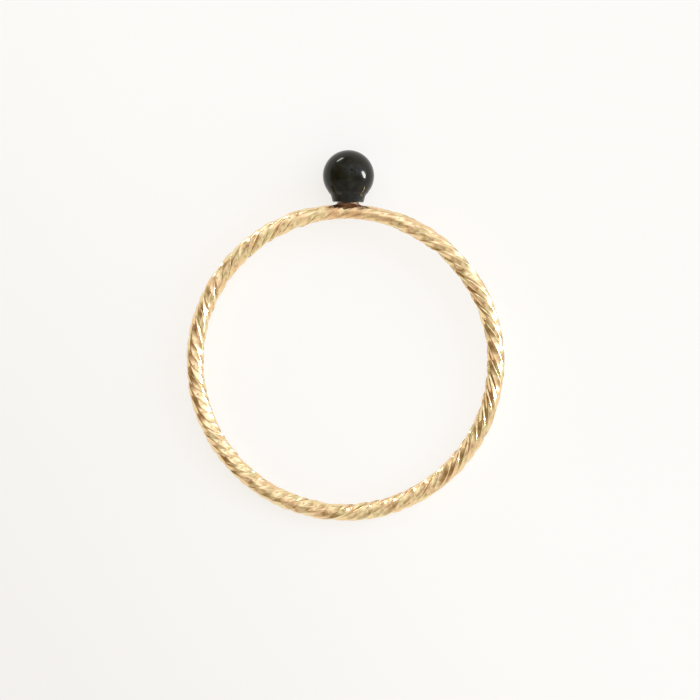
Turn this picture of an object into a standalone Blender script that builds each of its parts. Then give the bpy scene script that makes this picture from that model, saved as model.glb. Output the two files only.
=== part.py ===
"""A thin stacking ring: gold wire with a twist and diamond cuts, and one black agate ball.

The ring is modelled about its own centre, with its axis on Z and the ball towards +Y, and
is then set down on its side as it rests by itself: on the ball and on the far side of the
wire. Blender 4.5, metres, +Z up.
"""

import math

import bpy
import numpy as np

MM = 0.001

# The wire. It is drawn square and twisted, with four flat faces and a round land on each of
# the four corners between them. Diamond cuts sit in a row along every land.
BORE = 16.5 * MM
WIRE = 1.02 * MM
FACES_APART = 0.90 * MM
QUARTER_TURN = 1.77 * MM
CUT_DEPTH = 0.05 * MM
CUT_PITCH = 0.9 * MM
CUT_LENGTH = 0.9 * MM

# The join in the wire, filed round and smooth under the ball.
FILED_WIRE = 0.85 * MM
FILED_LENGTH = 5.2 * MM
FILED_RUN_OUT = 1.4 * MM
FILED_OFFSET = 0.35 * MM

# The soldered pad and the peg that carries the ball.
PAD = 1.27 * MM
PAD_RISE = 0.10 * MM
PAD_THICKNESS = 0.07 * MM
SOLDER_ROOT = 0.6 * MM
PEG = 0.7 * MM
PEG_HEIGHT = 1.3 * MM
PEG_ROUNDING = 0.1 * MM

# The ball, half drilled for the peg.
BALL = 3.0 * MM
PEG_CLEARANCE = 0.05 * MM
HOLE_END_CLEARANCE = 0.1 * MM

# The black seat cup that the ball is glued into. Glue fills the seat clearance. The wall
# tapers up from the foot and flares out to the rim.
SEAT_CLEARANCE = 0.03 * MM
CUP_FLOOR = 0.06 * MM
CUP_HEIGHT = 0.49 * MM
CUP_LIP = 0.02 * MM
CUP_FLARE = 0.11 * MM
CUP_FLARE_HEIGHT = 0.13 * MM
CUP_TAPER = 0.11 * MM
CUP_ROUNDING = 0.05 * MM

# Mesh fineness, and the most that a face's radius may be of the crest's, so it has a width.
STATIONS_IN_CUT = 4
FULLEST_FACE = 0.99
TURNED_SIDES = 40
BALL_ARC_STEPS = 20
CUP_ARC_STEPS = 6
ROUNDING_STEPS = 3

crest_radius = WIRE / 2
face_radius = min(FACES_APART / 2, crest_radius * FULLEST_FACE)
filed_radius = FILED_WIRE / 2
wire_circle = BORE / 2 + crest_radius
wire_length = 2 * math.pi * wire_circle
quarter_turns = max(4, round(wire_length / QUARTER_TURN))

# Cuts in one row round the ring. An odd number of quarter turns joins each row to the next,
# which is half a pitch on, so the number then has a half.
odd_half = quarter_turns % 2 / 2
cuts_round = round(wire_length / CUT_PITCH - odd_half) + odd_half

ball_radius = BALL / 2
peg_radius = PEG / 2
hole_radius = peg_radius + PEG_CLEARANCE
pad_radius = PAD / 2
pad_top = wire_circle + filed_radius + PAD_RISE
cup_bottom = pad_top + SEAT_CLEARANCE
dish_radius = ball_radius + SEAT_CLEARANCE
ball_centre = cup_bottom + CUP_FLOOR + math.sqrt(dish_radius**2 - hole_radius**2)


def flat_factor(angle):
    """Cosine of the angle from a flat's middle, and next to nothing past its reach."""
    return np.maximum(np.cos(angle), 0.05)


def row_of_cuts(theta, around, corner):
    """Radius left by the diamond cuts along one corner.

    A cut is a shallow scoop. Across the wire it is flat, so its radius is its depth line
    over the cosine of the angle from its corner. Along the wire it is part of a circle,
    so it climbs with the square of the distance from the middle of the cut.
    """
    cuts_passed = cuts_round * theta / (2 * math.pi) + corner / 2
    distance = ((cuts_passed + 0.5) % 1 - 0.5) * wire_length / cuts_round
    climb = CUT_DEPTH * (2 * distance / CUT_LENGTH) ** 2
    middle = (corner + 0.5) * math.pi / 2
    return (crest_radius - CUT_DEPTH + climb) / flat_factor(around - middle)


def filed_limit(theta):
    """Largest radius at an angle round the ring: full, but less where the join is filed."""
    offset = (theta - FILED_OFFSET / wire_circle + math.pi) % (2 * math.pi) - math.pi
    distance = np.abs(offset) * wire_circle
    share = np.clip((distance - FILED_LENGTH / 2) / FILED_RUN_OUT + 0.5, 0, 1)
    ease = share * share * (3 - 2 * share)
    return filed_radius + (crest_radius - filed_radius) * ease


def wire_radius(theta, around):
    """Radius of the twisted, cut and filed wire: the least of everything that cuts it."""
    radius = np.full(np.broadcast(theta, around).shape, crest_radius)
    for corner in range(4):
        radius = np.minimum(radius, face_radius / flat_factor(around - corner * math.pi / 2))
        radius = np.minimum(radius, row_of_cuts(theta, around, corner))
    return np.minimum(radius, filed_limit(theta))


def wire_points():
    """Grid of the wire's points: stations round the ring by columns that follow the twist.

    Each corner has three columns: its middle and the edges of the faces beside it.
    """
    face_edge = math.acos(face_radius / crest_radius)
    corner = np.array([face_edge, math.pi / 4, math.pi / 2 - face_edge])
    around = (np.arange(4)[:, None] * math.pi / 2 + corner).reshape(1, -1)
    stations = round(cuts_round * STATIONS_IN_CUT)
    theta = 2 * math.pi * np.arange(stations)[:, None] / stations
    radius = wire_radius(theta, around)
    psi = around - quarter_turns * theta / 4
    reach = wire_circle + radius * np.cos(psi)
    height = radius * np.sin(psi)
    return np.stack([reach * np.sin(theta), reach * np.cos(theta), height], axis=-1)


def wire_faces(stations, columns):
    """Two triangles for each cell. The last station meets the first with the twist's shift."""
    shift = -quarter_turns * columns // 4 % columns
    j, i = np.meshgrid(np.arange(stations), np.arange(columns), indexing="ij")
    next_j = (j + 1) % stations
    turned = np.where(j + 1 == stations, shift, 0)
    a = j * columns + i
    b = j * columns + (i + 1) % columns
    c = next_j * columns + (i + 1 + turned) % columns
    d = next_j * columns + (i + turned) % columns
    lower = np.stack([a, b, c], axis=-1).reshape(-1, 3)
    upper = np.stack([a, c, d], axis=-1).reshape(-1, 3)
    return np.concatenate([lower, upper]).tolist()


def turned_mesh(name, profile, sides=TURNED_SIDES):
    """A solid turned about +Y from (radius, height) points, with a pole where radius is 0."""
    vertices = []
    rings = []
    for radius, height in profile:
        if radius == 0:
            rings.append([len(vertices)] * sides)
            vertices.append((0, height, 0))
            continue
        rings.append([len(vertices) + k for k in range(sides)])
        for k in range(sides):
            angle = 2 * math.pi * k / sides
            vertices.append((radius * math.sin(angle), height, radius * math.cos(angle)))
    closed = profile[0][0] > 0
    pairs = list(zip(rings, rings[1:]))
    if closed:
        pairs.append((rings[-1], rings[0]))
    faces = []
    for low, high in pairs:
        for k in range(sides):
            n = (k + 1) % sides
            corners = [low[k], low[n], high[n], high[k]]
            faces.append([v for p, v in enumerate(corners) if v not in corners[:p]])
    mesh = bpy.data.meshes.new(name)
    mesh.from_pydata(vertices, [], faces)
    mesh.validate()
    return mesh


def arc(radius, centre, start, end, steps):
    """Points (radius, height) on a circle about centre on the axis. Angles run from -Y."""
    angles = [start + (end - start) * k / steps for k in range(steps + 1)]
    return [(radius * math.sin(a), centre - radius * math.cos(a)) for a in angles]


def metal_profile():
    """Solder root, pad and peg, from the middle of the wire outwards."""
    root = (SOLDER_ROOT / 2, wire_circle)
    pad_bottom = pad_top - PAD_THICKNESS
    peg_top = pad_top + PEG_HEIGHT
    return [
        (0, wire_circle),
        root,
        (pad_radius, pad_bottom),
        (pad_radius, pad_top),
        (peg_radius, pad_top),
        (peg_radius, peg_top - PEG_ROUNDING),
        (peg_radius - PEG_ROUNDING, peg_top),
        (0, peg_top),
    ]


def ball_profile():
    """Blind hole for the peg, its mouth, and the outside of the ball up to its top."""
    hole_end = pad_top + PEG_HEIGHT + HOLE_END_CLEARANCE
    mouth = math.asin(hole_radius / ball_radius)
    outside = arc(ball_radius, ball_centre, mouth, math.pi, BALL_ARC_STEPS)
    outside[-1] = (0, ball_centre + ball_radius)
    return [(0, hole_end), (hole_radius, hole_end)] + outside


def cup_profile():
    """Closed section of the cup: rounded foot, tapered wall, flare, rim, dish and peg hole."""
    rim = cup_bottom + CUP_HEIGHT
    dish_start = math.asin(hole_radius / dish_radius)
    dish_end = math.acos((ball_centre - rim) / dish_radius)
    dish = arc(dish_radius, ball_centre, dish_start, dish_end, CUP_ARC_STEPS)
    rim_radius = dish[-1][0] + CUP_LIP
    waist = rim_radius - CUP_FLARE
    foot = waist - CUP_TAPER
    corner = []
    for k in range(ROUNDING_STEPS + 1):
        angle = math.pi / 2 * k / ROUNDING_STEPS
        across = foot - CUP_ROUNDING + CUP_ROUNDING * math.sin(angle)
        up = cup_bottom + CUP_ROUNDING - CUP_ROUNDING * math.cos(angle)
        corner.append((across, up))
    wall = [(waist, rim - CUP_FLARE_HEIGHT), (rim_radius, rim)]
    return [(hole_radius, cup_bottom)] + corner + wall + dish[::-1]


def lowest(points, tilt):
    """Height of the lowest of the points after a turn by tilt about X."""
    return float(np.min(points[:, 1] * math.sin(tilt) + points[:, 2] * math.cos(tilt)))


def resting_tilt(wire, ball):
    """Tilt at which the ball and the far side of the wire are equally low."""
    low, high = -math.pi / 4, math.pi / 4
    for _ in range(60):
        middle = (low + high) / 2
        if lowest(ball, middle) < lowest(wire, middle):
            low = middle
        else:
            high = middle
    return (low + high) / 2


def points_of(mesh):
    return np.array([vertex.co for vertex in mesh.vertices])


def material(name, colour, metallic, roughness):
    made = bpy.data.materials.new(name)
    made.use_nodes = True
    shader = made.node_tree.nodes["Principled BSDF"]
    shader.inputs["Base Color"].default_value = (*colour, 1)
    shader.inputs["Metallic"].default_value = metallic
    shader.inputs["Roughness"].default_value = roughness
    return made


def add(name, mesh, parent, finish=None, smooth_degrees=None):
    """Links an object for the mesh under the parent, with its material and shading."""
    made = bpy.data.objects.new(name, mesh)
    bpy.context.scene.collection.objects.link(made)
    made.parent = parent
    if finish:
        mesh.materials.append(finish)
    if smooth_degrees:
        mesh.shade_smooth()
        mesh.set_sharp_from_angle(angle=math.radians(smooth_degrees))
    return made


for old in list(bpy.data.objects):
    bpy.data.objects.remove(old)

gold = material("gold", (0.78, 0.52, 0.22), 1.0, 0.22)
black_finish = material("black_finish", (0.015, 0.015, 0.014), 0.2, 0.35)
agate = material("agate", (0.01, 0.01, 0.009), 0.0, 0.08)

rest = bpy.data.objects.new("rest", None)
bpy.context.scene.collection.objects.link(rest)

grid = wire_points()
wire = grid.reshape(-1, 3)
wire_mesh = bpy.data.meshes.new("band")
wire_mesh.from_pydata(wire.tolist(), [], wire_faces(grid.shape[0], grid.shape[1]))
band = add("band", wire_mesh, rest, gold)

peg = add("solder_pad_and_peg", turned_mesh("peg", metal_profile()), rest, gold)
peg.hide_render = True
peg.display_type = "WIRE"
join = band.modifiers.new("solder", "BOOLEAN")
join.operation = "UNION"
join.solver = "EXACT"
join.object = peg

add("cup", turned_mesh("cup", cup_profile()), rest, black_finish, 40)
bead = add("bead", turned_mesh("bead", ball_profile()), rest, agate, 40)

ball = points_of(bead.data)
tilt = resting_tilt(wire, ball)
rest.rotation_euler = (tilt, 0, 0)
all_points = np.concatenate([wire, ball])
turned_y = all_points[:, 1] * math.cos(tilt) - all_points[:, 2] * math.sin(tilt)
middle_x = (all_points[:, 0].min() + all_points[:, 0].max()) / 2
middle_y = (turned_y.min() + turned_y.max()) / 2
rest.location = (-middle_x, -middle_y, -lowest(all_points, tilt))
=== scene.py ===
"""Looks of a thin gold stacking ring with one black agate ball.

The ring lies on its side on a pale surface, on the ball and on the far side of its wire, and
the camera looks down its axis. Lengths are metres. Each piece is worked out about the ring's
own centre, with the axis on Z and the ball towards +Y, and is then laid where the frame has it.
"""

import math

import bpy
import numpy as np
from mathutils import Matrix, Vector


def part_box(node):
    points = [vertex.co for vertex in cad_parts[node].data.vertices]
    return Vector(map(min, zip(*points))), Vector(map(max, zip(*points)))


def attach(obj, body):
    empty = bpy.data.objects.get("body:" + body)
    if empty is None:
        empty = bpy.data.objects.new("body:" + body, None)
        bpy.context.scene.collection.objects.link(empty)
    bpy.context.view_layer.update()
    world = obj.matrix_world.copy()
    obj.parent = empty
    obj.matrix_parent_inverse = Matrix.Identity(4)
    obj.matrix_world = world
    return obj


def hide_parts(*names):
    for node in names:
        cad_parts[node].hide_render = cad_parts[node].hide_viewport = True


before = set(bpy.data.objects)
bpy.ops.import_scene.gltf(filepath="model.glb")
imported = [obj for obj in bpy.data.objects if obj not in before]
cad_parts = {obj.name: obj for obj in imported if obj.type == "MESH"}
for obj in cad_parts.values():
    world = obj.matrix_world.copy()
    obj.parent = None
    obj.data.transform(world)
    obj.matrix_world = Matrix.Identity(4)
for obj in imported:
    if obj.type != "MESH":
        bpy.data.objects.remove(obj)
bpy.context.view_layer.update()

MM = 0.001

# Band: 18 gauge gold-filled wire, drawn square, twisted, diamond cut along its four faces and
# four corners, bent round a mandrel and soldered. The join is filed smooth, under the ball.
BORE = 16.5 * MM
WIRE = 1.02 * MM
FACES_APART = 0.90 * MM
QUARTER_TURN = 1.77 * MM
CUT_DEPTH = 0.05 * MM
CUT_PITCH = 1.76 * MM
CUT_RAMP = 0.065 * MM
CUT_DEEPER = 0.8
CUT_TIPPING = 0.12 * MM
CUT_STEEP = 0.06
CUT_STARTS = 5
CUT_LEAN = math.radians(14)
CUT_IN_FILED = 0.45
CUT_SEED = 7
CLOSE_CUTS_AT = math.radians(250)
CLOSER_CUTS = 3.0
UNEVEN_CUTS = 0.08
UNEVEN_SPELLS = 11
SIDES = 8
LEAST_FACING = 0.3
FILED_WIRE = 0.85 * MM
FILED_LENGTH = 5.2 * MM
FILED_RUN_OUT = 1.4 * MM
FILED_OFFSET = 0.35 * MM
BALL_OUT = 10.852 * MM
ROWS_IN_CUT = 35
COLUMNS_IN_QUARTER = 22
ANGLE_STEPS = 50000

crest = WIRE / 2
face = FACES_APART / 2
filed = FILED_WIRE / 2
wire_circle = BORE / 2 + crest
wire_length = 2 * math.pi * wire_circle
quarter_turns = round(wire_length / QUARTER_TURN)
cuts_back = round(wire_length / CUT_PITCH - CUT_STARTS / 4)
cuts_round = cuts_back + CUT_STARTS / 4
side_turn = 2 * math.pi / SIDES
cut_unevenness = np.random.default_rng(CUT_SEED).uniform(-1, 1, (3, round(SIDES * cuts_round)))

# The ball is thicker than the wire, so the ring that lies on both tips up towards the ball.
ball_low, ball_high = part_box("bead")
ball_middle = (ball_low + ball_high) / 2
tilt = math.asin((ball_middle.z - crest) / (BALL_OUT + wire_circle))
up_the_ring = Vector((0, math.cos(tilt), math.sin(tilt)))
ring_axis = Vector((0, -math.sin(tilt), math.cos(tilt)))
ring_centre = ball_middle - up_the_ring * BALL_OUT
lay = Matrix.Translation(ring_centre) @ Matrix.Rotation(tilt, 4, "X")


def cuts_before(theta):
    """Number of cuts from the ring's top to an angle.

    It grows evenly, plus one wave that brings the cuts closer together at one place, and a
    small quick wave that makes their lengths uneven.
    """
    bunched = CLOSER_CUTS * np.sin(theta - CLOSE_CUTS_AT)
    uneven = UNEVEN_CUTS * np.sin(UNEVEN_SPELLS * theta)
    return cuts_round * theta / (2 * math.pi) + bunched + uneven


def cut_sides(along, around, limit):
    """Radius of the wire with its eight cut sides, under a limiting radius.

    The sides are the four faces and the four corners between them, in turn. Along a side the
    cuts follow each other like saw teeth: each goes slowly deeper, then climbs out steeply
    on a slanting line. A cut follows its side round the twist, and leans, tips and deepens
    by amounts of its own. Its radius at a point is its distance from the wire's middle over
    the cosine of the angle from its normal, and the innermost of the near cuts shows.
    """
    share = CUT_IN_FILED + (1 - CUT_IN_FILED) * (limit - filed) / (crest - filed)
    passed = along % 1
    ramp = np.minimum(passed / (1 - CUT_STEEP), (1 - passed) / CUT_STEEP)
    radius = limit + 0 * around
    nearest = np.round(around / side_turn)
    for side in (nearest - 1, nearest, nearest + 1):
        corner = side % 2
        number = 2 * np.floor(along) + cuts_back * (side - corner) + corner
        lean, tipping, deepen = cut_unevenness[:, number.astype(int) % cut_unevenness.shape[1]]
        depth = corner * CUT_DEPTH + (1 - corner) * (crest - face) - CUT_RAMP / 2
        depth = depth + CUT_RAMP * (1 + CUT_DEEPER * deepen) * ramp
        depth = depth + CUT_TIPPING * tipping * (passed - 0.5)
        across = around - side * side_turn - CUT_LEAN * lean * share
        facing = np.maximum(np.cos(across), LEAST_FACING)
        radius = np.minimum(radius, (limit - depth * share) / facing)
    return radius


def filed_limit(theta):
    """Largest radius after filing: the crest, easing to the filed radius near the join."""
    offset = (theta - FILED_OFFSET / wire_circle + math.pi) % (2 * math.pi) - math.pi
    share = np.clip((np.abs(offset) * wire_circle - FILED_LENGTH / 2) / FILED_RUN_OUT + 0.5, 0, 1)
    return filed + (crest - filed) * share * share * (3 - 2 * share)


def wire_surface():
    """Points of the wire and the way it was drawn, as one ribbon that goes round four times.

    The section makes an odd number of quarter turns, so its four quarters follow each other in
    one ribbon. A row follows one slanting cut line: its angle round the ring is found from
    the number of cuts before it, less those that the line passes round the section. The way
    drawn is the point's place on the straight wire: across, up and along.
    """
    in_cut = np.linspace(0, 1 - CUT_STEEP, ROWS_IN_CUT)
    along = (np.arange(round(4 * cuts_round))[:, None] + in_cut).reshape(-1, 1)
    around = math.pi / 2 * np.arange(COLUMNS_IN_QUARTER)[None, :] / COLUMNS_IN_QUARTER
    angles = np.linspace(-math.pi, 10 * math.pi, ANGLE_STEPS)
    theta = np.interp(along - CUT_STARTS * around / (2 * math.pi), cuts_before(angles), angles)
    radius = cut_sides(along, around, filed_limit(theta))
    psi = around - theta * quarter_turns / 4
    reach = wire_circle + radius * np.cos(psi)
    points = np.stack([reach * np.sin(theta), reach * np.cos(theta), radius * np.sin(psi)], -1)
    once_round = theta % (2 * math.pi)
    turn = psi + once_round * quarter_turns / 4
    drawn = np.stack([crest * np.cos(turn), crest * np.sin(turn), wire_circle * once_round], -1)
    return points, drawn


def ribbon_faces(rows, columns, rows_on):
    """Quads of a ribbon that closes end to end, and whose last column meets its own first.

    A row meets, across that edge, the one that is so many rows further on.
    """
    j, i = np.meshgrid(np.arange(rows), np.arange(columns + 1), indexing="ij")
    points = (j + i // columns * rows_on) % rows * columns + i % columns
    after = np.roll(points, -1, axis=0)
    quads = [points[:, :-1], points[:, 1:], after[:, 1:], after[:, :-1]]
    return np.stack(quads, -1).reshape(-1, 4).tolist()


def grid_faces(rows, columns, closed=True):
    """Quads of a grid that closes round its columns and, if closed, from last row to first.

    An open grid gets two end faces.
    """
    j, i = np.meshgrid(np.arange(rows if closed else rows - 1), np.arange(columns), indexing="ij")
    after = (j + 1) % rows * columns
    quads = [j * columns + i, j * columns + (i + 1) % columns,
             after + (i + 1) % columns, after + i]
    faces = np.stack(quads, -1).reshape(-1, 4).tolist()
    if not closed:
        faces.append(list(range(columns))[::-1])
        faces.append(list(range((rows - 1) * columns, rows * columns)))
    return faces


def mesh_piece(name, points, faces, sharp_degrees=180):
    """Object at the origin with its points laid in place, smooth but for sharp edges."""
    mesh = bpy.data.meshes.new(name)
    mesh.from_pydata(points.reshape(-1, 3).tolist(), [], faces)
    mesh.transform(lay)
    mesh.validate()
    mesh.shade_smooth()
    mesh.set_sharp_from_angle(angle=math.radians(sharp_degrees))
    piece = bpy.data.objects.new(name, mesh)
    bpy.context.scene.collection.objects.link(piece)
    return piece


wire_points, drawn_way = wire_surface()
wire_faces = ribbon_faces(*wire_points.shape[:2], cuts_back * ROWS_IN_CUT)
band = mesh_piece("twisted_wire", wire_points, wire_faces)
band.data.attributes.new("drawn_way", "FLOAT_VECTOR", "POINT").data.foreach_set(
    "vector", drawn_way.ravel())


class Shade:
    """A shader socket. Sums on it add Math nodes, and node adds any other kind."""

    def __init__(self, tree, socket=None):
        self.tree = tree
        self.socket = socket

    def node(self, kind, settings, inputs, output=0):
        """Adds a node of a kind, with its settings first and then its values and links."""
        made = self.tree.nodes.new("ShaderNode" + kind)
        for name, value in settings.items():
            setattr(made, name, value)
        for name, value in inputs.items():
            if isinstance(value, Shade):
                self.tree.links.new(value.socket, made.inputs[name])
            else:
                made.inputs[name].default_value = value
        return Shade(self.tree, made.outputs[output])

    def math(self, operation, first, second):
        return self.node("Math", {"operation": operation}, {0: first, 1: second})

    def __add__(self, other):
        return self.math("ADD", self, other)

    def __radd__(self, other):
        return self.math("ADD", other, self)

    def __rsub__(self, other):
        return self.math("SUBTRACT", other, self)

    def __mul__(self, other):
        return self.math("MULTIPLY", self, other)

    def __rmul__(self, other):
        return self.math("MULTIPLY", other, self)

    def vector_math(self, operation, numbers, output="Value"):
        """Vector Math of this and a vector that is given by its three numbers."""
        inputs = {0: self, 1: numbers}
        return self.node("VectorMath", {"operation": operation}, inputs, output)

    def step(self, low, high):
        """0 up to low, 1 from high on, and smooth between them."""
        inputs = {"Value": self, "From Min": low, "From Max": high}
        return self.node("MapRange", {"interpolation_type": "SMOOTHSTEP"}, inputs)

    def mix(self, first, second):
        """Colour that goes from the first, a colour or a Shade, to the second as this goes to 1."""
        return self.node("Mix", {"data_type": "RGBA"}, {0: self, 6: first, 7: second}, 2)

    def noise(self, way, per_mm, detail=2.0):
        """Noise of 0 to 1 with so many lumps in a millimetre along a vector in metres."""
        inputs = {"Vector": way, "Scale": per_mm / MM, "Detail": detail}
        return self.node("TexNoise", {}, inputs)

    def feed(self, shader, name):
        self.tree.links.new(self.socket, shader.inputs[name])

    def bump(self, shader, height_mm):
        """Feeds this as a height of so many millimetres into the shader's normal."""
        inputs = {"Strength": 1.0, "Distance": height_mm * MM, "Height": self}
        self.node("Bump", {}, inputs).feed(shader, "Normal")


def new_finish(name, colour, metallic, roughness, specular=0.5):
    """A material with its shader, a Shade to write its maths with, and Object coordinates.

    The colour and roughness given are plain ones, for where the maths on them isn't read.
    """
    made = bpy.data.materials.new(name)
    made.use_nodes = True
    shader = made.node_tree.nodes["Principled BSDF"]
    shader.inputs["Base Color"].default_value = (*colour, 1)
    shader.inputs["Metallic"].default_value = metallic
    shader.inputs["Roughness"].default_value = roughness
    shader.inputs["Specular IOR Level"].default_value = specular
    shade = Shade(made.node_tree)
    return made, shader, shade, shade.node("TexCoord", {}, {}, "Object")


SCRATCH_LENGTHENING = 14
YELLOW_GOLD = (0.92, 0.745, 0.405, 1)
ROSY_GOLD = (0.92, 0.645, 0.36, 1)
SHADED_GOLD = (0.80, 0.49, 0.25, 1)
FULL_SHADE_WITHIN = 0.6 * MM
SHADE_GONE_AT = 2.2 * MM
GOLD_ROUGHNESS = 0.13
SCRATCH_ROUGHNESS = 0.08
UNDER_BALL_ROUGHNESS = 0.15
WAVE_HEIGHT_MM = 0.015
SCRATCH_TO_WAVE = 0.04

gold, shader, shade, place = new_finish("gold", (0.94, 0.70, 0.36), metallic=1.0, roughness=0.25)
drawn = shade.node("Attribute", {"attribute_name": "drawn_way"}, {}, "Vector")
lines = drawn.vector_math("MULTIPLY", (SCRATCH_LENGTHENING, SCRATCH_LENGTHENING, 1), "Vector")
scratches = shade.noise(lines, 2.0)
unshaded_gold = shade.noise(place, 1.2).step(0.32, 0.68).mix(YELLOW_GOLD, ROSY_GOLD)
# Painted shade: near the join under the ball, the gold turns redder and darker in mottled patches.
under_ball_point = ring_centre + up_the_ring * (wire_circle + filed)
out_of_ball_shade = place.vector_math("DISTANCE", under_ball_point).step(FULL_SHADE_WITHIN, SHADE_GONE_AT)
ball_shade = (1 - out_of_ball_shade) * shade.noise(place, 2.5).step(0.3, 0.65)
ball_shade.mix(unshaded_gold, SHADED_GOLD).feed(shader, "Base Color")
roughness = GOLD_ROUGHNESS + SCRATCH_ROUGHNESS * scratches + UNDER_BALL_ROUGHNESS * ball_shade
roughness.feed(shader, "Roughness")
waves = shade.noise(place, 1.6)
(waves + SCRATCH_TO_WAVE * scratches).bump(shader, WAVE_HEIGHT_MM)
band.data.materials.append(gold)
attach(band, "root")
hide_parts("band")

# Solder pad: a small gold disc soldered on the filed join, with the peg that goes up into the
# ball. The solder has run out along the wire's top in a fillet. Its dark red-brown colour is
# painted shade and a painted reflection of the black foot above it.
PAD = 1.27 * MM
PAD_RISE = 0.10 * MM
PAD_THICKNESS = 0.07 * MM
PAD_EDGE = 0.02 * MM
PEG = 0.7 * MM
PEG_HEIGHT = 1.3 * MM
PEG_ROUNDING = 0.1 * MM
SOLDER_ALONG = 0.76 * MM
SOLDER_ACROSS = 0.31 * MM
SOLDER_SUNK = 0.08 * MM
SUNK_WIDTHS = (0.9, 0.3)
MIDDLE_ALONG = 0.72 * MM
MIDDLE_ACROSS = 0.46 * MM
MIDDLE_OVER_WIRE = 0.012 * MM
MIDDLE_UNDER_PAD = 0.06 * MM
SOLDER_ROWS = 14
TURNED_SIDES = 96
SHARP_EDGE = 50
PALE_SHADED_SOLDER = (0.25, 0.15, 0.095, 1)
DARK_SHADED_SOLDER = (0.13, 0.075, 0.05, 1)
SOLDER_ROUGHNESS = 0.4
LUMP_ROUGHNESS = 0.2
LUMP_HEIGHT_MM = 0.01

pad_top = wire_circle + filed + PAD_RISE


def turned(radius, height):
    """Points of a shape turned about the ball's axis: a row for each radius and height."""
    angle = 2 * math.pi * np.arange(TURNED_SIDES)[None, :] / TURNED_SIDES
    radius, height = np.asarray(radius)[:, None], np.asarray(height)[:, None]
    return np.stack([radius * np.sin(angle), height + 0 * angle, radius * np.cos(angle)], -1)


def quarter_round(radius, height, rounding, steps=6):
    """Profile of a rounded outer edge: a quarter circle from the flat top to the side."""
    turn = np.linspace(0, math.pi / 2, steps)
    return radius - rounding + rounding * np.sin(turn), height - rounding + rounding * np.cos(turn)


def solder_fillet():
    """Rows from the pad's lower edge down to an ellipse on the wire, then under its skin.

    Each column is a curve with one middle point, so it leaves the pad downwards and meets
    the wire along its skin. The wire's skin is a torus, whose height follows from the ends.
    """
    angle = 2 * math.pi * np.arange(TURNED_SIDES)[None, :] / TURNED_SIDES
    across = np.cos(angle) ** 2
    end = 1 / np.sqrt((1 - across) / SOLDER_ALONG**2 + across / SOLDER_ACROSS**2)
    skin = wire_circle + np.sqrt(filed**2 - (end * np.cos(angle)) ** 2)
    end_height = np.sqrt(skin**2 - (end * np.sin(angle)) ** 2)
    pad_bottom = pad_top - PAD_THICKNESS
    middle = (1 - across) * MIDDLE_ALONG + across * MIDDLE_ACROSS
    middle_height = (1 - across) * (end_height + MIDDLE_OVER_WIRE)
    middle_height = middle_height + across * (pad_bottom - MIDDLE_UNDER_PAD)
    t = np.linspace(0, 1, SOLDER_ROWS)[:, None]
    radius = (1 - t) ** 2 * PAD / 2 + 2 * t * (1 - t) * middle + t**2 * end
    height = (1 - t) ** 2 * pad_bottom + 2 * t * (1 - t) * middle_height + t**2 * end_height
    radius = np.concatenate([radius, *(width * end for width in SUNK_WIDTHS)])
    height = np.concatenate([height, end_height - SOLDER_SUNK, end_height - SOLDER_SUNK])
    return np.stack([radius * np.sin(angle), height, radius * np.cos(angle)], -1)


peg_edge = quarter_round(PEG / 2, pad_top + PEG_HEIGHT, PEG_ROUNDING)
pad_edge = quarter_round(PAD / 2, pad_top, PAD_EDGE)
peg_and_pad = turned(
    np.concatenate([[PEG / 8], peg_edge[0], [PEG / 2], pad_edge[0]]),
    np.concatenate([[pad_top + PEG_HEIGHT], peg_edge[1], [pad_top], pad_edge[1]]),
)
pad_points = np.concatenate([peg_and_pad, solder_fillet()])[::-1]
pad_faces = grid_faces(*pad_points.shape[:2], closed=False)
pad = mesh_piece("solder_pad", pad_points, pad_faces, SHARP_EDGE)

solder, shader, shade, place = new_finish(
    "solder", (0.22, 0.13, 0.08), metallic=1.0, roughness=0.45
)
lumps = shade.noise(place, 6.0, 4.0)
# Painted shade and painted reflection of the black foot: both solder tones are kept dark.
lumps.step(0.25, 0.75).mix(PALE_SHADED_SOLDER, DARK_SHADED_SOLDER).feed(shader, "Base Color")
(SOLDER_ROUGHNESS + LUMP_ROUGHNESS * lumps).feed(shader, "Roughness")
lumps.bump(shader, LUMP_HEIGHT_MM)
pad.data.materials.append(solder)
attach(pad, "root")

# Seat cup: a tiny black cup between the pad and the ball, pressed from sheet and blackened.
# Its wall flares out to a feather edge against the ball, which is glued into it.
SEAT_CLEARANCE = 0.03 * MM
PEG_CLEARANCE = 0.05 * MM
CUP_HEIGHT = 0.60 * MM
CUP_FOOT = 1.80 * MM
CUP_SLOPE = 0.25
CUP_BLEND = 0.06 * MM
CUP_EDGE = 0.006 * MM
CUP_ROUNDING = 0.05 * MM
CUP_GLUED = 0.01 * MM
BALL = 3.0 * MM
DISH_ROWS = 24
WALL_ROWS = 36
FOOT_ROWS = 8
CUP_BLACK = (0.007, 0.007, 0.005, 1)
WORN_BLACK = (0.016, 0.016, 0.012, 1)
CUP_ROUGHNESS = 0.14
GRAIN_ROUGHNESS = 0.16
GRAIN_HEIGHT_MM = 0.003

cup_bottom = pad_top + SEAT_CLEARANCE


def arc(radius, start, end, steps):
    """Profile of a circle about the ball's centre. Angles run from straight down."""
    angle = np.linspace(start, end, steps)
    return radius * np.sin(angle), BALL_OUT - radius * np.cos(angle)


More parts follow.
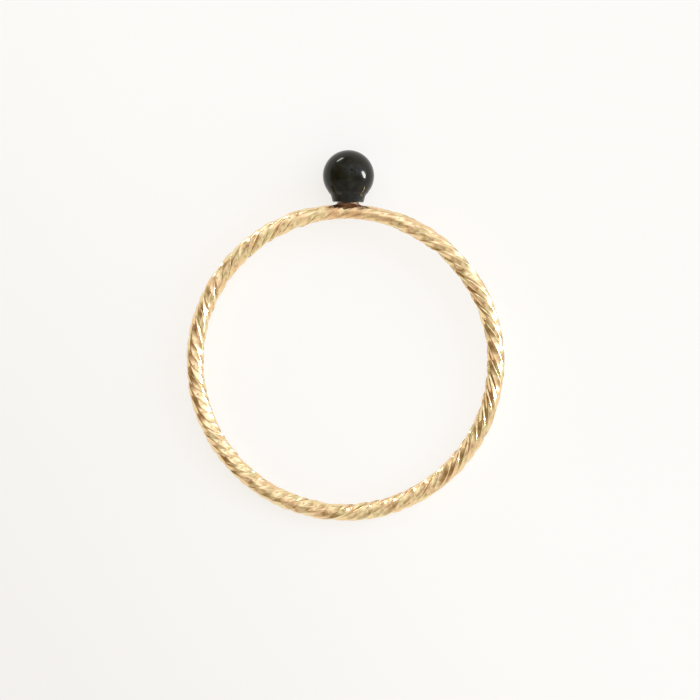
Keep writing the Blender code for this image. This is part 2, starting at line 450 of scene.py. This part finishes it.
hole = PEG / 2 + PEG_CLEARANCE
dish = BALL / 2 - CUP_GLUED
rim_angle = math.acos((BALL_OUT - cup_bottom - CUP_HEIGHT) / dish)
dish_radius, dish_height = arc(dish, rim_angle, math.asin(hole / dish), DISH_ROWS)
rise = np.linspace(CUP_ROUNDING, CUP_HEIGHT, WALL_ROWS)
straight = CUP_FOOT / 2 + CUP_SLOPE * rise
snug = np.sqrt((BALL / 2 + CUP_EDGE) ** 2 - (BALL_OUT - cup_bottom - rise) ** 2)
wall_radius = (straight + snug + np.sqrt((straight - snug) ** 2 + CUP_BLEND**2)) / 2
corner_turn = np.linspace(0, math.pi / 2, FOOT_ROWS)[:-1]
corner_radius = wall_radius[0] - CUP_ROUNDING + CUP_ROUNDING * np.sin(corner_turn)
corner_height = cup_bottom + CUP_ROUNDING - CUP_ROUNDING * np.cos(corner_turn)
cup_points = turned(
    np.concatenate([[hole], corner_radius, wall_radius, dish_radius]),
    np.concatenate([[cup_bottom], corner_height, cup_bottom + rise, dish_height]),
)
cup = mesh_piece("seat_cup", cup_points, grid_faces(*cup_points.shape[:2]), SHARP_EDGE)

blackened, shader, shade, place = new_finish(
    "black_finish", (0.010, 0.010, 0.009), metallic=0.0, roughness=0.3, specular=0.3
)
grain = shade.noise(place, 9.0, 3.0)
grain.step(0.2, 0.8).mix(CUP_BLACK, WORN_BLACK).feed(shader, "Base Color")
(CUP_ROUGHNESS + GRAIN_ROUGHNESS * grain).feed(shader, "Roughness")
grain.bump(shader, GRAIN_HEIGHT_MM)
cup.data.materials.append(blackened)
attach(cup, "root")
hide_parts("cup")

# Ball: black agate, ground round, half drilled for the peg and polished. The stone is almost
# even black, with faint smoky bands that only show where the light is strong.
HOLE_END_CLEARANCE = 0.1 * MM
BALL_ROWS = 90
BALL_TOP_FLAT = 0.01
AGATE_BLACK = (0.007, 0.007, 0.004, 1)
AGATE_SMOKE = (0.018, 0.018, 0.011, 1)
AGATE_IOR = 1.34
AGATE_GLINT = (1.0, 0.985, 0.88, 1)
AGATE_ROUGHNESS = 0.05
CLOUD_ROUGHNESS = 0.05
BANDS_PER_MM = 0.5
BAND_WANDER = 4.0

hole_end = pad_top + PEG_HEIGHT + HOLE_END_CLEARANCE
hole_angle = math.asin(hole / (BALL / 2))
ball_radius, ball_height = arc(BALL / 2, hole_angle, math.pi - BALL_TOP_FLAT, BALL_ROWS)
ball_points = turned(
    np.concatenate([[hole / 4, hole], ball_radius]),
    np.concatenate([[hole_end, hole_end], ball_height]),
)
ball_faces = grid_faces(*ball_points.shape[:2], closed=False)
bead = mesh_piece("agate_ball", ball_points, ball_faces, SHARP_EDGE)

agate, shader, shade, place = new_finish(
    "agate", (0.008, 0.008, 0.007), metallic=0.0, roughness=0.06
)
shader.inputs["IOR"].default_value = AGATE_IOR
shader.inputs["Specular Tint"].default_value = AGATE_GLINT
clouds = shade.noise(place, 0.5, 3.0)
settings = {"wave_type": "BANDS", "bands_direction": "DIAGONAL"}
inputs = {"Vector": place, "Scale": BANDS_PER_MM / MM, "Distortion": BAND_WANDER, "Detail": 3.0}
bands = shade.node("TexWave", settings, inputs, "Fac")
(bands * clouds).mix(AGATE_BLACK, AGATE_SMOKE).feed(shader, "Base Color")
(AGATE_ROUGHNESS + CLOUD_ROUGHNESS * clouds).feed(shader, "Roughness")
bead.data.materials.append(agate)
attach(bead, "root")
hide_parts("bead")

# Pale surface under the ring: matt card with a trace of warm mottling. It glows evenly, so that
# the ring's shadow stays faint. Towards the ring's lower left its colour is a little darker:
# painted shade.
FLOOR_SIDE = 1200 * MM
SHADE_WAY = (-0.8, -0.6, 0)
SHADE_FROM = -6 * MM
SHADE_TO = 36 * MM
GREYER_CARD = (0.295, 0.292, 0.285, 1)
PALER_CARD = (0.31, 0.307, 0.30, 1)
SHADED_CARD = (0.19, 0.18, 0.16, 1)
CARD_GLOW = (1.0, 0.985, 0.96, 1)
GLOW_STRENGTH = 0.745

side = FLOOR_SIDE / 2
floor_mesh = bpy.data.meshes.new("floor")
corners = [(-side, -side, 0), (side, -side, 0), (side, side, 0), (-side, side, 0)]
floor_mesh.from_pydata(corners, [], [(0, 1, 2, 3)])
floor = bpy.data.objects.new("floor", floor_mesh)
bpy.context.scene.collection.objects.link(floor)
card, shader, shade, place = new_finish(
    "pale_card", (0.5, 0.5, 0.5), metallic=0.0, roughness=0.9, specular=0.0
)
mottle = shade.noise(place, 0.03, 2.0)
unshaded_card = mottle.step(0.3, 0.7).mix(GREYER_CARD, PALER_CARD)
# Painted shade: the card's colour darkens a little towards the ring's lower left.
card_shade = place.vector_math("DOT_PRODUCT", SHADE_WAY).step(SHADE_FROM, SHADE_TO)
card_shade.mix(unshaded_card, SHADED_CARD).feed(shader, "Base Color")
shader.inputs["Emission Color"].default_value = CARD_GLOW
shader.inputs["Emission Strength"].default_value = GLOW_STRENGTH
floor_mesh.materials.append(card)

# Light: an even pale room, duller to the left, with a dim screen that runs from overhead to
# the left, a bright window low on the right and a narrow one behind the ball. Directions are
# degrees round from +X and degrees up.
EVEN_LIGHT = 0.65
LIGHTER_AWAY = 0.10
LIGHTER_RIGHT = 0.16
# A patch is full within its inner angle of its direction and gone at its outer one.
LIGHTER_PATCHES = (  # round, up, inner angle, outer angle, light added
    (100, 62, 8, 34, 0.20),
    (62, 42, 8, 28, 0.40),
    (24, 34, 5, 24, 0.5),
    (12, 26, 3, 15, 1.4),
    (12, 8, 5, 40, 0.8),
    (280, 38, 6, 22, 0.2),
    (35, 62, 8, 30, 0.35),
    (-60, 68, 6, 24, 0.22),
    (115, 70, 6, 24, 0.12),
)
DULLER_PATCHES = (  # round, up, inner angle, outer angle, share of the light taken
    (-27, 60, 8, 22, 0.14),
    (228, 52, 8, 24, 0.12),
    (168, 58, 10, 38, 0.40),
    (120, 15, 8, 30, 0.2),
    (174, 24, 12, 40, 0.41),
    (57, 64, 4.5, 6.5, 0.65),
)
SCREEN_TAKES = 0.35
CLUTTER_SCALE = 3.3
CLUTTER_LEAVES = 0.78
CLUTTER_RANGE = 0.4
WINDOW_AWAY = 500 * MM
DIM_LIGHT = (1.0, 0.74, 0.48, 1)
PLAIN_LIGHT = (1.0, 0.98, 0.97, 1)
BRIGHT_LIGHT = (0.91, 1.0, 1.22, 1)

world = bpy.data.worlds.new("room")
world.use_nodes = True
shade = Shade(world.node_tree)
way = shade.node("TexCoord", {}, {}, "Generated")
x, y = (shade.node("SeparateXYZ", {}, {0: way}, axis) for axis in "XY")


def direction(azimuth, elevation):
    """Vector of length 1 that points so many degrees round from +X and so many up."""
    turn, climb = math.radians(azimuth), math.radians(elevation)
    level = math.cos(climb)
    return Vector((math.cos(turn) * level, math.sin(turn) * level, math.sin(climb)))


def patch(azimuth, elevation, inner, outer):
    """1 within the inner angle of a direction, 0 past the outer one, all in degrees."""
    edge, full = math.cos(math.radians(outer)), math.cos(math.radians(inner))
    return way.vector_math("DOT_PRODUCT", direction(azimuth, elevation)).step(edge, full)


light = EVEN_LIGHT + LIGHTER_AWAY * y.step(-0.1, 0.35) + LIGHTER_RIGHT * x.step(0.1, 0.95)
for azimuth, elevation, inner, outer, added in LIGHTER_PATCHES:
    light = light + added * patch(azimuth, elevation, inner, outer)
for azimuth, elevation, inner, outer, taken in DULLER_PATCHES:
    light = light * (1 - taken * patch(azimuth, elevation, inner, outer))
screen = y.step(-0.34, -0.27) * (1 - y.step(-0.19, -0.12)) * (1 - x.step(0.02, 0.3))
light = light * (1 - SCREEN_TAKES * screen)
# Blurred clutter makes the whole room a little uneven.
clutter = shade.node("TexNoise", {}, {"Vector": way, "Scale": CLUTTER_SCALE, "Detail": 0.5})
light = light * (CLUTTER_LEAVES + CLUTTER_RANGE * clutter.step(0.36, 0.64))
room_colour = light.step(0.25, 0.75).mix(DIM_LIGHT, PLAIN_LIGHT)
room_colour = light.step(1.0, 1.55).mix(room_colour, BRIGHT_LIGHT)
background = world.node_tree.nodes["Background"]
room_colour.feed(background, "Color")
light.feed(background, "Strength")
bpy.context.scene.world = world


def window(name, azimuth, elevation, wide, tall, radiance, roll=0):
    """A soft box that faces the ring: its direction, its size and its roll, in degrees."""
    lamp_data = bpy.data.lights.new(name, "AREA")
    lamp_data.shape = "ELLIPSE"
    lamp_data.size = 2 * WINDOW_AWAY * math.tan(math.radians(wide / 2))
    lamp_data.size_y = 2 * WINDOW_AWAY * math.tan(math.radians(tall / 2))
    lamp_data.energy = radiance * math.pi * lamp_data.size * lamp_data.size_y
    lamp = bpy.data.objects.new(name, lamp_data)
    bpy.context.scene.collection.objects.link(lamp)
    out = direction(azimuth, elevation)
    lamp.location = out * WINDOW_AWAY
    facing = out.to_track_quat("Z", "Y").to_matrix() @ Matrix.Rotation(math.radians(roll), 3, "Z")
    lamp.rotation_euler = facing.to_euler()
    lamp.visible_diffuse = False


window("right_window", azimuth=5, elevation=17, wide=28, tall=15, radiance=26, roll=32)
window("back_window", azimuth=118, elevation=4, wide=24, tall=9, radiance=10)

bpy.context.scene.view_settings.view_transform = "Standard"

# Camera: it looks straight down the ring's axis, far enough off for the bore to look like one
# circle. The ring's place and size in the picture are the photo's, and the ball is a little
# past the top.
FRAME_SIDE = 700
RING_PIXEL = (345.4, 361.9)
PIXELS_PER_MM = 17.16
BALL_ROLL = math.radians(0.95)
CAMERA_AWAY = 250 * MM
SENSOR = 36

image_up = Matrix.Rotation(BALL_ROLL, 3, ring_axis) @ up_the_ring
image_right = Matrix.Rotation(BALL_ROLL, 3, ring_axis) @ Vector((1, 0, 0))
pixel = MM / PIXELS_PER_MM
aim = (
    ring_centre
    - image_right * (RING_PIXEL[0] - FRAME_SIDE / 2) * pixel
    + image_up * (RING_PIXEL[1] - FRAME_SIDE / 2) * pixel
)
camera_data = bpy.data.cameras.new("camera")
camera_data.sensor_width = SENSOR
camera_data.lens = SENSOR * CAMERA_AWAY / (FRAME_SIDE * pixel)
camera_data.clip_start = 10 * MM
camera_data.clip_end = 5
camera = bpy.data.objects.new("camera", camera_data)
bpy.context.scene.collection.objects.link(camera)
camera.matrix_world = Matrix.Translation(aim + ring_axis * CAMERA_AWAY) @ Matrix(
    (image_right, image_up, ring_axis)
).transposed().to_4x4()
bpy.context.scene.camera = camera
